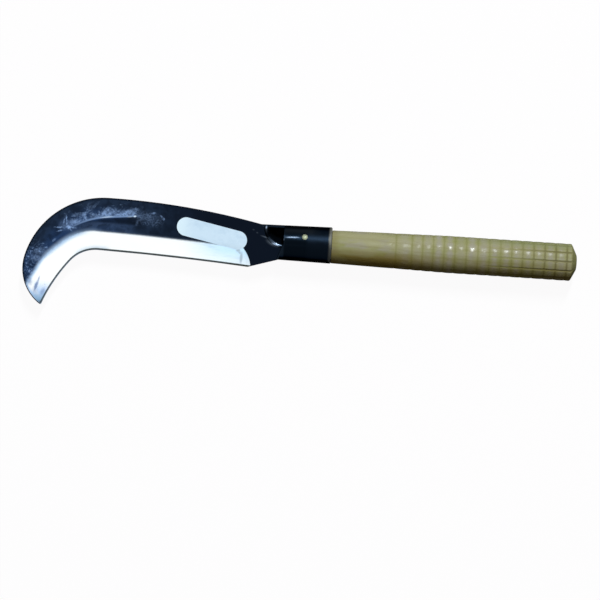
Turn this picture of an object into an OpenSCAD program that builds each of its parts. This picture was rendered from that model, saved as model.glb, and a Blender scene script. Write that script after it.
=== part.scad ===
// Billhook with a rolled socket, a turned wooden grip and one nail.
// The tool lies flat: grip along +X, hook at -X, camera side +Z, bench at z = 0. Sizes in mm.

/* [Blade plate] */
// Thickness of the flat plate
plate_thickness = 4; // [3:0.25:4.5]
// Distance from the socket's front rim back to the start of the spine
spine_start_x = 19.8; // [18:0.2:22]
// Height of the spine above the socket's axis at its start
spine_start_y = 14.8; // [14:0.1:15]
// Direction of the spine where it leaves the socket, degrees
spine_heading = 167.8; // [167:0.2:169]
// Radius of the long, almost straight spine
spine_radius = 653; // [600:1:720]
// Turn of the spine, degrees
spine_turn = 11.9; // [11:0.1:12.5]
// Radius of the crown, where the spine turns over into the hook
crown_radius = 72; // [68:0.5:76]
// Turn of the crown, degrees
crown_turn = 75.6; // [72:0.2:79]
// Radius of the back of the hook
beak_radius = 39.2; // [38:0.1:42]
// Height of the small flat that blunts the tip
tip_blunt = 0.8; // [0.5:0.1:2]
// Height of the plate's lower side where it meets the socket, below the axis
neck_low_y = 15.2; // [15:0.05:15.25]

/* [Cutting edge] */
// Heel of the edge, distance in front of the socket
heel_x = 30.2; // [29:0.2:32]
// Heel of the edge, distance below the socket's axis
heel_y = 23; // [22:0.2:24]
// Direction of the edge at the heel, degrees
edge_heading = 175.45; // [175:0.05:176]
// Radius of the long, almost straight edge
edge_radius = 2378; // [2000:1:2800]
// Turn of the long edge, degrees
edge_turn = 3.15; // [3:0.05:3.3]
// Radius of the bend into the hook
bend_radius = 29.9; // [28:0.1:31]
// Turn of the bend, degrees
bend_turn = 51.7; // [50:0.1:53]
// Radius of the edge inside the hook
hook_radius = 144.3; // [130:0.1:160]
// Width of the ground bevel
bevel_width = 16.5; // [14:0.5:17]
// Thickness left at the cutting edge
edge_land = 0.4; // [0.3:0.05:0.8]
// Radius of the wheel mark where the bevel ends at the heel
wheel_radius = 30; // [29:0.5:33]
// Length of the run-out at that end
wheel_run_out = 5.2; // [3:0.2:6]

/* [Socket] */
// Length of the rolled socket from front rim to mouth
socket_length = 41.6; // [38:0.2:46]
// Outer diameter at the front rim
rim_diameter = 30.4; // [30.2:0.1:31]
// Outer diameter at the mouth
mouth_diameter = 31.7; // [31.5:0.1:32.4]
// Wall of the rolled sheet
socket_wall = 2; // [1.6:0.1:2.1]
// Chamfer around the mouth
mouth_chamfer = 0.7; // [0.3:0.1:1]
// How far the lower lip of the rim leans toward the blade
lip_reach = 4.4; // [3:0.2:6]
// Height on the rim where the lean starts, below the axis
lip_start_y = 3; // [2:0.2:5]
// Thickness of the lower lip where it starts
lip_wall = 0.8; // [0.6:0.1:1.2]
// Radius of the hollow between plate and rim
hollow_radius = 16.4; // [14:0.2:17]
// How much the hollow narrows over one millimetre of depth
hollow_taper = 0.55; // [0.4:0.05:0.7]
// Place of the neck under the plate, distance in front of the rim
neck_reach = 17.6; // [16.6:0.2:19]
// Slant of the neck seen from above, degrees
neck_slant = 27.2; // [24:0.2:30]
// Radius of the sweep under the neck
neck_sweep = 17; // [16.5:0.1:18]
// Width of the closed seam along the back of the socket
seam_width = 1.2; // [0.8:0.1:1.6]

/* [Tongue] */
// Length of the plate's tongue inside the socket
tongue_length = 13; // [8:0.5:15]
// Height of the tongue's lower side below the axis
tongue_low_y = 12.8; // [12.4:0.1:12.9]
// Height of the tongue's upper side below the axis
tongue_high_y = 4.2; // [3.8:0.1:6]

/* [Weld] */
// Thickness of the weld bead
bead_size = 3.4; // [2.6:0.2:4]

/* [Grip] */
// Length of the grip outside the socket
grip_length = 213.4; // [200:0.2:230]
// Diameter of the grip at the socket
throat_diameter = 28.7; // [28.6:0.1:30]
// Greatest diameter of the grip
grip_diameter = 32.5; // [32.1:0.1:34]
// Where the grip reaches its full diameter, from the mouth
swell_length = 100; // [90:1:120]
// Gap between the mouth and the shoulder of the grip
shoulder_gap = 0.3; // [0.2:0.05:0.6]
// Diameter of the tenon in the socket
tenon_diameter = 26; // [25:0.1:26]
// Gap between the tenon's end and the plate's tongue
tongue_gap = 1; // [0.5:0.1:3]
// Number of ring grooves
ring_count = 16; // [12:1:18]
// Distance from one ring groove to the next
ring_pitch = 9.6; // [9:0.1:10.5]
// Distance from the first ring groove, by the plain part, to the second
first_pad = 14; // [11:0.5:15]
// Last ring groove, distance from the butt end
ring_end = 9.5; // [7:0.1:12]
// Width of a ring groove
ring_width = 1.8; // [1.2:0.1:2.2]
// Depth of a ring groove
ring_depth = 0.7; // [0.3:0.1:0.8]
// Number of lengthwise grooves
flute_count = 12; // [8:1:12]
// Number of rings that the lengthwise grooves cross
fluted_rings = 7; // [6:1:9]
// Width of a lengthwise groove
flute_width = 1.5; // [1:0.1:2]
// Depth of a lengthwise groove
flute_depth = 0.6; // [0.3:0.1:0.8]
// Length of the chamfer at the butt
butt_chamfer = 5; // [4:0.5:7]
// Diameter of the flat butt end
butt_diameter = 13; // [10:0.5:20]

/* [Nail] */
// Distance of the nail from the front rim
nail_x = 18.1; // [17:0.1:30]
// Angle of the nail from straight up, degrees
nail_angle = 24.4; // [0:0.2:40]
// Diameter of the nail's shank
nail_diameter = 2.6; // [2:0.1:3]
// Diameter of the nail's head
nail_head_diameter = 5.2; // [4.4:0.1:6]
// Height of the domed head
nail_head_height = 1.1; // [0.8:0.1:1.4]
// Length of the nail's shank
nail_length = 14; // [8:0.5:15]
// Clearance of the nail in the socket's wall, on the radius
nail_clearance = 0.1; // [0.05:0.05:0.3]

/* [Assembly] */
// How far the grip's axis lies below the socket's axis at the mouth
grip_drop = 1.1; // [0.8:0.1:1.2]
// Angle between the grip's axis and the socket's axis, degrees
grip_lean = 0.25; // [0:0.05:0.3]

/* [Hidden] */
$fn = 96;
half_plate = plate_thickness / 2;
half_land = edge_land / 2;
bevel_slope = (half_plate - half_land) / bevel_width;
rim_r = rim_diameter / 2;
mouth_r = mouth_diameter / 2;
cone_slope = (mouth_r - rim_r) / socket_length;
bore_rim_r = rim_r - socket_wall;
ledge_y = bore_rim_r - 0.2;
far = 60;
grip_r = grip_diameter / 2;
throat_r = throat_diameter / 2;

function outward(h) = [sin(h), -cos(h)];
function arc_centre(p, h, r) = p - r * outward(h);
function arc_end(c, h, r) = c + r * outward(h);

// Back of the blade: three arcs, each tangent to the next.
spine_from = [-spine_start_x, spine_start_y];
spine_c = arc_centre(spine_from, spine_heading, spine_radius);
crown_heading = spine_heading + spine_turn;
spine_to = arc_end(spine_c, crown_heading, spine_radius);
crown_c = arc_centre(spine_to, crown_heading, crown_radius);
beak_heading = crown_heading + crown_turn;
beak_c = arc_centre(arc_end(crown_c, beak_heading, crown_radius), beak_heading, beak_radius);

// Cutting edge: three arcs, each tangent to the next.
heel = [-heel_x, -heel_y];
edge_c = arc_centre(heel, edge_heading, edge_radius);
bend_heading = edge_heading + edge_turn;
bend_c = arc_centre(arc_end(edge_c, bend_heading, edge_radius), bend_heading, bend_radius);
hook_heading = bend_heading + bend_turn;
hook_c = arc_centre(arc_end(bend_c, hook_heading, bend_radius), hook_heading, hook_radius);

// Tip of the hook, where the back meets the edge.
tip_span = norm(hook_c - beak_c);
tip_along = (beak_radius * beak_radius - hook_radius * hook_radius + tip_span * tip_span) / (2 * tip_span);
tip_across = sqrt(beak_radius * beak_radius - tip_along * tip_along);
tip_dir = (hook_c - beak_c) / tip_span;
tip = beak_c + tip_along * tip_dir + tip_across * [tip_dir[1], -tip_dir[0]];

// From the socket's own frame to the frame with the grip along X, and on to the middle of the bounding box.
function turned(p) = [
    cos(grip_lean) * (p[0] - socket_length) - sin(grip_lean) * (p[1] + grip_drop),
    sin(grip_lean) * (p[0] - socket_length) + cos(grip_lean) * (p[1] + grip_drop)
];
x_low = turned(beak_c)[0] - beak_radius;
y_high = max(turned(spine_to)[1], turned(crown_c)[1] + crown_radius);
y_low = turned(tip)[1] + tip_blunt;
middle = [-(x_low + grip_length) / 2, -(y_low + y_high) / 2, grip_r];

module in_tool() {
    translate(middle) children();
}

module in_blade() {
    in_tool() rotate([0, 0, grip_lean]) translate([-socket_length, grip_drop, 0]) children();
}

module sector(c, r, from, to) {
    translate(c) intersection() {
        circle(r = r, $fn = r > 500 ? 2400 : 240);
        polygon([
            [0, 0],
            2 * r * [cos(from), sin(from)],
            2 * r * [cos((from + to) / 2), sin((from + to) / 2)],
            2 * r * [cos(to), sin(to)]
        ]);
    }
}

// Full outline behind the back of the blade, before the throat is taken out.
module back_outline() {
    intersection() {
        translate(spine_c) circle(r = spine_radius, $fn = 1200);
        polygon([
            spine_to,
            [crown_c[0] - 10, -far],
            [-spine_start_x, -far],
            [-spine_start_x, far],
            [spine_to[0], far]
        ]);
    }
    sector(crown_c, crown_radius, crown_heading - 98, beak_heading - 90);
    sector(beak_c, beak_radius, beak_heading - 98, beak_heading - 10);
}

// Lower side of the neck and the tongue that goes into the socket.
module tail_outline() {
    polygon([
        [-spine_start_x - 2, ledge_y],
        [0, ledge_y],
        [0, -tongue_high_y],
        [tongue_length, -tongue_high_y],
        [tongue_length, -tongue_low_y],
        [-lip_reach - 0.1, -tongue_low_y],
        [-lip_reach - 0.1, -far],
        [-spine_start_x - 2, -far]
    ]);
}

// Everything below the cutting edge and the neck, as high as the plate is thick and more.
module throat_cut() {
    deep() sector(edge_c, edge_radius, edge_heading - 90.2, bend_heading - 90);
    deep() translate(bend_c) circle(r = bend_radius, $fn = 240);
    deep() sector(hook_c, hook_radius, hook_heading - 90, hook_heading - 55);
    deep() polygon([heel, [-lip_reach, -neck_low_y], [0, -neck_low_y], [0, -2 * far], bend_c]);
}

module deep() {
    translate([0, 0, -plate_thickness]) linear_extrude(2 * plate_thickness) children();
}

module bevel_arc(c, r, from, to) {
    translate([c[0], c[1], 0]) rotate([0, 0, from]) rotate_extrude(angle = to - from, $fn = r > 500 ? 2400 : 240) polygon([
        [r - 1, half_land - bevel_slope],
        [r + bevel_width + 1, half_plate + bevel_slope],
        [r - 1, half_plate + bevel_slope]
    ]);
}

// Where the grinding wheel ran out at the heel.
module wheel_reach() {
    translate([heel[0] - 27 - 4 * far, -2 * far, -1]) cube([4 * far, 4 * far, half_plate + 3]);
    translate([heel[0] - 27, heel[1] - 3.6, half_land]) cylinder(
        r1 = wheel_radius - wheel_run_out,
        r2 = wheel_radius + wheel_run_out / (half_plate - half_land),
        h = half_plate + 1 - half_land
    );
}

// Part of the plate seen from the bend's centre between two directions, with its bevel ground on both faces.
module ground_piece(from, to) {
    difference() {
        intersection() {
            plate();
            translate([bend_c[0], bend_c[1], -plate_thickness]) linear_extrude(2 * plate_thickness) polygon([
                [0, 0],
                10 * far * [cos(from), sin(from)],
                10 * far * [cos((from + to) / 2), sin((from + to) / 2)],
                10 * far * [cos(to), sin(to)]
            ]);
        }
        children();
        mirror([0, 0, 1]) children();
    }
}

// Cone, standing on its point, that shapes the hollow in front of the rim.
module hollow_cone() {
    translate([0, ledge_y, -rim_r]) cylinder(
        r1 = hollow_radius - hollow_taper * (rim_r + half_plate),
        r2 = hollow_radius + hollow_taper * 0.5,
        h = rim_r + half_plate + 0.5
    );
}

module round_bar(from, to, wall) {
    rotate([0, 90, 0]) translate([0, 0, from]) cylinder(
        r1 = rim_r + cone_slope * from - wall,
        r2 = rim_r + cone_slope * to - wall,
        h = to - from
    );
}

// Everything inside the socket's outer surface, with the chamfer at the mouth.
module socket_body() {
    rotate([0, 90, 0]) rotate_extrude() polygon([
        [0, -2 * spine_start_x],
        [rim_r - cone_slope * 2 * spine_start_x, -2 * spine_start_x],
        [mouth_r - cone_slope * mouth_chamfer, socket_length - mouth_chamfer],
        [mouth_r - mouth_chamfer, socket_length],
        [0, socket_length]
    ]);
}

// The steel that closes the sleeve under the plate and behind its lower lip.
module socket_filling() {
    difference() {
        intersection() {
            round_bar(-spine_start_x - 3, lip_wall / 2, socket_wall / 2);
            translate([-far, -far, -far - half_plate / 2]) cube([2 * far, 2 * far, far]);
        }
        hollow_cone();
    }
    intersection() {
        round_bar(-lip_reach - 1, lip_wall, socket_wall / 2);
        translate([-lip_reach - 1, -rim_r, half_plate]) cube([lip_reach + 1 + lip_wall, rim_r - lip_start_y, rim_r]);
    }
}

module socket_cuts() {
    translate([0, 0, half_plate]) linear_extrude(2 * rim_r) polygon([
        [-far, far], [0, far], [0, -lip_start_y], [-lip_reach, -rim_r], [-lip_reach, -far], [-far, -far]
    ]);
    translate([0, 0, -half_plate]) linear_extrude(plate_thickness) polygon([
        [-far, far], [-spine_start_x, far], [-spine_start_x, ledge_y], [lip_wall + 1, ledge_y],
        [lip_wall + 1, -tongue_low_y], [-lip_reach, -tongue_low_y], [-lip_reach, -far], [-far, -far]
    ]);
    translate([-neck_reach, 0, 0]) rotate([0, 0, neck_slant]) rotate([90, 0, 0]) linear_extrude(2 * far, center = true) {
        translate([-5, -half_plate - sqrt(neck_sweep * neck_sweep - 25)]) circle(r = neck_sweep);
        translate([-far, -far - half_plate]) square([far - 1, far]);
    }
}

module nail_line() {
    translate([nail_x, 0, 0]) rotate([-nail_angle, 0, 0]) children();
}

module plate() {
    difference() {
        union() {
            translate([0, 0, -half_plate]) linear_extrude(plate_thickness) back_outline();
            translate([0, 0, -half_plate]) linear_extrude(plate_thickness) tail_outline();
        }
        throat_cut();
        hollow_cone();
    }
}

module blade() {
    color([0.10, 0.11, 0.14]) difference() {
        in_blade() {
            ground_piece(bend_heading - 210, bend_heading - 90) intersection() {
                bevel_arc(edge_c, edge_radius, edge_heading - 90.2, bend_heading - 89.9);
                wheel_reach();
            }
            ground_piece(bend_heading - 90, hook_heading - 90)
                bevel_arc(bend_c, bend_radius, bend_heading - 95, hook_heading - 85);
            ground_piece(hook_heading - 90, hook_heading + 30)
                bevel_arc(hook_c, hook_radius, hook_heading - 93, hook_heading - 66);
        }
        in_tool() translate([x_low - 1, y_low - 9, -plate_thickness]) cube([far, 9, 2 * plate_thickness]);
    }
}

module socket() {
    color([0.05, 0.06, 0.10]) in_blade() difference() {
        union() {
            difference() {
                socket_body();
                round_bar(-spine_start_x - 2, socket_length + 1, socket_wall);
            }
            socket_filling();
        }
        socket_cuts();
        nail_line() cylinder(d = nail_diameter + 2 * nail_clearance, h = 2 * rim_r);
        translate([2, 0, -rim_r]) rotate([0, atan(cone_slope), 0]) rotate([45, 0, 0])
            translate([0, -seam_width / 2, -seam_width / 2]) cube([socket_length, seam_width, seam_width]);
    }
}

// Bead along the tail of the plate and along the lower lip of the rim.
module weld() {
    color([0.07, 0.08, 0.11]) in_blade() {
        translate([0, ledge_y, 0]) rotate([0, 0, 180]) rotate_extrude(angle = 90) difference() {
            translate([hollow_radius - 0.2, half_plate - 0.5]) circle(d = bead_size);
            polygon([
                [hollow_radius - 2 * far * hollow_taper, half_plate - 2 * far],
                [hollow_radius, half_plate],
                [hollow_radius + far, half_plate],
                [hollow_radius + far, half_plate - 2 * far]
            ]);
        }
        translate([0, -lip_start_y - 0.6, half_plate]) rotate([0, 0, atan2(-lip_reach, rim_r - lip_start_y)]) rotate([90, 0, 0])
            linear_extrude((rim_r - lip_start_y) * 0.96) intersection() {
                circle(d = bead_size);
                translate([-bead_size, 0]) square([bead_size, bead_size]);
            }
    }
}

module grip_profile() {
    difference() {
        polygon([
            [0, shoulder_gap],
            [throat_r, shoulder_gap],
            [grip_r, swell_length],
            [grip_r, grip_length - butt_chamfer],
            [butt_diameter / 2, grip_length],
            [0, grip_length]
        ]);
        for (i = [0 : ring_count - 1]) {
            at = grip_length - ring_end - i * ring_pitch - (i == ring_count - 1 ? first_pad - ring_pitch : 0);
            surface = min(grip_r, throat_r + (grip_r - throat_r) * at / swell_length);
            translate([surface, at]) polygon([[0.1, -ring_width / 2], [-ring_depth, 0], [0.1, ring_width / 2]]);
        }
    }
}

module flutes() {
    start = grip_length - ring_end - fluted_rings * ring_pitch + ring_width / 4;
    translate([start, 0, 0]) rotate([90, 0, 90]) linear_extrude(grip_length) for (i = [0 : flute_count - 1])
        rotate(i * 360 / flute_count) polygon([
            [grip_r + 0.1, -flute_width / 2], [grip_r - flute_depth, 0], [grip_r + 0.1, flute_width / 2]
        ]);
}

module handle() {
    color([0.78, 0.72, 0.42]) difference() {
        union() {
            in_tool() difference() {
                rotate([0, 90, 0]) rotate_extrude() grip_profile();
                flutes();
            }
            in_blade() translate([tongue_length + tongue_gap, 0, 0]) rotate([0, 90, 0])
                cylinder(d = tenon_diameter, h = socket_length + shoulder_gap + 0.2 - tongue_length - tongue_gap);
        }
        in_blade() nail_line() translate([0, 0, rim_r - nail_length]) cylinder(d = nail_diameter, h = nail_length);
    }
}

module nail() {
    head_sphere = (nail_head_diameter * nail_head_diameter / 4 + nail_head_height * nail_head_height) / (2 * nail_head_height);
    seat = rim_r + cone_slope * nail_x;
    color([0.80, 0.70, 0.45]) in_blade() difference() {
        nail_line() {
            translate([0, 0, rim_r - nail_length]) cylinder(d = nail_diameter, h = nail_length + seat - rim_r);
            translate([0, 0, seat - 0.25]) intersection() {
                translate([0, 0, nail_head_height - head_sphere]) sphere(r = head_sphere);
                cylinder(d = nail_head_diameter + 1, h = 2 * nail_head_height);
            }
        }
        difference() {
            round_bar(0, socket_length, 0);
            round_bar(-1, socket_length + 1, socket_wall);
            nail_line() cylinder(d = nail_diameter, h = 2 * rim_r);
        }
    }
}

blade();
socket();
weld();
handle();
nail();
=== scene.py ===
import logging
import math
from dataclasses import dataclass
from enum import Enum
from typing import Callable, Optional, Union

import bmesh
import bpy
from mathutils import Matrix, Vector


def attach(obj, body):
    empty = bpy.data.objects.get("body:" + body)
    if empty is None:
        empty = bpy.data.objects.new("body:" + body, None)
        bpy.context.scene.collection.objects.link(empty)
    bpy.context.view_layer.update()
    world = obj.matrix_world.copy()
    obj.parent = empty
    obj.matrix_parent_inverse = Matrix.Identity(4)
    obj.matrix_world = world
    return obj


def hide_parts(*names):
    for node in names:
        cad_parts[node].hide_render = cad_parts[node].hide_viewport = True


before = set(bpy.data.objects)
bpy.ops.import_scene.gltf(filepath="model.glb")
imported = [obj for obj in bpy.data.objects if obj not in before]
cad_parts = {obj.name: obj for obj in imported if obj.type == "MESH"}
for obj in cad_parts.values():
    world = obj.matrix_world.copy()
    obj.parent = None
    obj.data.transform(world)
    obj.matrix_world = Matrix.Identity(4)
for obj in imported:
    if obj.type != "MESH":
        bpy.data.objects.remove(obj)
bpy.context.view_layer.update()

MM = 0.001
SAME_POINT = 0.001  # how near, in millimetres, two places count as one
EVERY_LEVEL = 1000.0  # half of a mark's height, so that it shows on every level
FACES_UP = 0.9995  # a face whose normal rises or falls by more looks straight up or down
log = logging.getLogger("billhook")

Colour = tuple[float, float, float]
Place = tuple[float, float, float]
Span = tuple[float, float]
Amount = Union[float, "Value"]
Tint = Union[Colour, "Value"]
Slot = Union[int, str]


# The tool's own places, shared by the meshes and the finishes. Millimetres, tool frame.


@dataclass(frozen=True)
class Arc:
    """One round stretch of the blade's outline.

    Args:
        x, y: The arc's centre.
        radius: The arc's radius.
    """

    x: float
    y: float
    radius: float

    def distance(self, x: float, y: float) -> float:
        """How far a point lies from the arc's centre."""
        return math.hypot(x - self.x, y - self.y)

    def right(self, other: "Arc") -> tuple[float, float]:
        """The direction to the right of the line from this centre to another arc's."""
        return other.y - self.y, self.x - other.x

    def has_right(self, other: "Arc", x: float, y: float) -> bool:
        """Whether a point lies on the right of the line from this centre to another arc's."""
        right = self.right(other)
        return right[0] * (x - other.x) + right[1] * (y - other.y) > 0


@dataclass(frozen=True)
class BladeLines:
    """The arcs that the blade is drawn from, the levels of its two faces, and its bevel."""

    spine: Arc = Arc(-169.81, -605.05, 653.0)
    crown: Arc = Arc(-169.31, -24.05, 72.0)
    beak: Arc = Arc(-201.07, -15.87, 39.2)
    edge: Arc = Arc(-223.14, -2375.35, 2378.0)
    bend: Arc = Arc(-176.01, -27.73, 29.9)
    hook: Arc = Arc(-87.67, -100.42, 144.3)
    middle_z: float = 16.25
    half_plate: float = 2.0
    bevel_width: float = 16.5
    half_keen: float = 0.2

    def from_edge(self, x: float, y: float) -> float:
        """How far inside the cutting edge a point lies."""
        if self.edge.has_right(self.bend, x, y):
            arc = self.edge
        else:
            arc = self.hook if self.bend.has_right(self.hook, x, y) else self.bend
        return arc.distance(x, y) - arc.radius

    def top(self, x: float, y: float) -> float:
        """The level of the upper face, which falls away over the ground bevel."""
        inside = max(0.0, self.bevel_width - self.from_edge(x, y))
        drop = inside * (self.half_plate - self.half_keen) / self.bevel_width
        return self.middle_z + self.half_plate - drop


@dataclass(frozen=True)
class SocketLine:
    """Where the socket's own axis lies in the tool."""

    mouth_x: float = 26.8665
    axis_y: float = 18.1659
    axis_z: float = 16.25
    length: float = 41.6
    drop: float = 1.1
    lean: float = 0.25

    def matrix(self) -> Matrix:
        """The matrix, in metres, from the socket's frame (rim at the origin, axis along +X) to the tool's."""
        at = Matrix.Translation(Vector((self.mouth_x, self.axis_y, self.axis_z)) * MM)
        turn = Matrix.Rotation(math.radians(self.lean), 4, "Z")
        back = Matrix.Translation(Vector((-self.length, self.drop, 0.0)) * MM)
        return at @ turn @ back


@dataclass(frozen=True)
class GripLine:
    """The turned grip's axis, length and radii, before any groove is cut."""

    throat_x: float = SocketLine.mouth_x
    axis_y: float = SocketLine.axis_y
    axis_z: float = SocketLine.axis_z
    length: float = 213.4
    throat_r: float = 14.35
    grip_r: float = 16.25
    swell: float = 100.0

    @property
    def butt_x(self) -> float:
        """The place of the butt."""
        return self.throat_x + self.length

    def radius(self, at: float) -> float:
        """The grip's radius at a distance from the socket's mouth."""
        return min(self.grip_r, self.throat_r + (self.grip_r - self.throat_r) * at / self.swell)


@dataclass(frozen=True)
class Mark:
    """A small soft oval mark on the tool, seen from above: a rub, a scratch, a dark mark, a painted highlight
    or painted shade.

    Args:
        x, y: Its middle.
        long, wide: Half of its length and half of its width.
        turn: The angle in degrees from the X axis to its length.
        strength: How much of it shows.
        core: The share of it that has not begun to fade.
    """

    x: float
    y: float
    long: float
    wide: float
    turn: float
    strength: float = 1.0
    core: float = 0.2


LINES = BladeLines()
SOCKET = SocketLine()
GRIP = GripLine()
# Painted highlights on the neck: glints along the rim of the scoop in front of the socket, with their halos.
NECK_GLINTS = (
    Mark(-30.6, 31.3, 2.1, 1.1, -92, 0.95, 0.1),
    Mark(-30.5, 29.3, 3.8, 1.5, -89, 0.30, 0.0),
    Mark(-30.9, 22.8, 6.0, 1.0, -15, 0.10, 0.0),
    Mark(-22.2, 17.1, 5.0, 1.4, -16, 1.00, 0.2),
    Mark(-23.6, 18.2, 8.6, 3.6, -19, 0.14, 0.0),
)


# The values that a finish is worked out from, and the desk on which they are laid out.


def sign(how: str, turned: bool = False) -> Callable[["Value", Amount], "Value"]:
    """Makes one of the arithmetic signs of Value.

    Args:
        how: The step of arithmetic in the shader.
        turned: Whether the value comes second, as in 1 - value.

    Returns:
        The method for the sign.
    """

    def apply(self: "Value", other: Amount) -> "Value":
        """Works out the sign's result."""
        pair = (other, self) if turned else (self, other)
        return self.desk.math(how, *pair)

    return apply


@dataclass(frozen=True, eq=False)
class Value:
    """A number, a place or a colour that the shader works out at each point of a surface.

    Args:
        desk: The desk that it lies on.
        socket: The node's output that carries it.
    """

    desk: "Desk"
    socket: bpy.types.NodeSocket

    __add__, __radd__ = sign("ADD"), sign("ADD", turned=True)
    __sub__, __rsub__ = sign("SUBTRACT"), sign("SUBTRACT", turned=True)
    __mul__, __rmul__ = sign("MULTIPLY"), sign("MULTIPLY", turned=True)
    __truediv__, __pow__ = sign("DIVIDE"), sign("POWER")

    def __abs__(self) -> "Value":
        """The number without its sign."""
        return self.desk.math("ABSOLUTE", self)

    def past(self, limit: float) -> "Value":
        """1 where the number is greater than the limit, and 0 elsewhere."""
        return self.desk.math("GREATER_THAN", self, limit)

    def share(self, whole: Amount) -> "Value":
        """The number's share of a whole, held from 0 to 1."""
        return self.desk.run("Math", {0: self, 1: whole}, operation="DIVIDE", use_clamp=True)

    def step(self, low: float, high: float) -> "Value":
        """A soft step from 0 at low to 1 at high, which may be the lower of the two."""
        ends = (0.0, 1.0) if low < high else (1.0, 0.0)
        inputs = dict(enumerate((self, min(low, high), max(low, high), *ends)))
        return self.desk.run("MapRange", inputs, interpolation_type="SMOOTHSTEP", clamp=True)

    def near(self, centre: float, half: float, soft: float) -> "Value":
        """1 within half of the centre, falling softly to 0 over soft more."""
        return abs(self - centre).step(half + soft, half)

    def pick(self, first: Amount, second: Amount) -> "Value":
        """Goes from the first number to the second as this one goes from 0 to 1."""
        return self.desk.run("Mix", {0: self, 2: first, 3: second}, data_type="FLOAT")

    def tint(self, first: Tint, second: Tint) -> "Value":
        """Goes from the first colour to the second as this number goes from 0 to 1."""
        return self.desk.run("Mix", {0: self, 6: first, 7: second}, 2, data_type="RGBA")

    def bump(self, depth: float, under: Optional["Value"]) -> "Value":
        """A bumped normal from this height of 0 to 1, which stands for depth millimetres."""
        inputs = {"Strength": 1.0, "Distance": depth * MM, "Height": self}
        if under is not None:
            inputs["Normal"] = under
        return self.desk.run("Bump", inputs)

    def split(self) -> tuple["Value", ...]:
        """The three numbers of this place."""
        made = self.desk.node("SeparateXYZ")
        self.desk.feed(made.inputs[0], self)
        return tuple(Value(self.desk, out) for out in made.outputs)

    def distance(self, point: Place) -> "Value":
        """How far this place lies from a fixed point."""
        return self.desk.vector("DISTANCE", self, point, out="Value")

    def dot(self, vector: Place) -> "Value":
        """This place's dot product with a fixed vector."""
        return self.desk.vector("DOT_PRODUCT", self, vector, out="Value")

    def noise(
        self, size: float, detail: float = 2.0, rough: float = 0.5, bent: float = 0.0, out: str = "Fac"
    ) -> "Value":
        """Cloudy noise from 0 to 1 at this place, with lumps about size millimetres across."""
        inputs = {"Vector": self, "Scale": 1.0 / size, "Detail": detail}
        inputs.update({"Roughness": rough, "Distortion": bent})
        return self.desk.run("TexNoise", inputs, out, noise_dimensions="3D")

    def shake(self, size: float, far: float) -> "Value":
        """This place shifted to and fro by up to far millimetres, so that marks laid on it look ragged."""
        centred = self.desk.vector("SUBTRACT", self.noise(size, 3.0, out="Color"), (0.5, 0.5, 0.5))
        return self.desk.vector("MULTIPLY_ADD", centred, (4 * far, 4 * far, 0.0), self)

    def marks(self, marks: tuple[Mark, ...]) -> "Value":
        """The strongest of several marks at this place, from 0 to 1."""
        shown = []
        for mark in marks:
            inputs = {
                "Vector": self,
                "Location": (mark.x, mark.y, 0.0),
                "Rotation": (0.0, 0.0, math.radians(mark.turn)),
                "Scale": (mark.long, mark.wide, EVERY_LEVEL),
            }
            inside = self.desk.run("Mapping", inputs, vector_type="TEXTURE")
            away = self.desk.vector("LENGTH", inside, out="Value")
            shown.append(away.step(1.0, mark.core) * mark.strength)
        return most(*shown)


def most(top: Value, *others: Amount) -> Value:
    """The greatest of several numbers."""
    for value in others:
        top = top.desk.math("MAXIMUM", top, value)
    return top


def join(x: Value, y: Amount, z: Amount = 0.0) -> Value:
    """The place that three numbers make."""
    return x.desk.run("CombineXYZ", {0: x, 1: y, 2: z})


def paint(ground: Tint, *coats: tuple[Value, Tint]) -> Value:
    """A ground colour under coats of paint, each of which covers where its own mask is 1."""
    for mask, colour in coats:
        ground = mask.tint(ground, colour)
    return ground


def relief(*layers: tuple[Value, float]) -> Value:
    """A normal bumped by several heights of 0 to 1, each with its depth in millimetres."""
    normal = None
    for height, depth in layers:
        normal = height.bump(depth, normal)
    return normal


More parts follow.
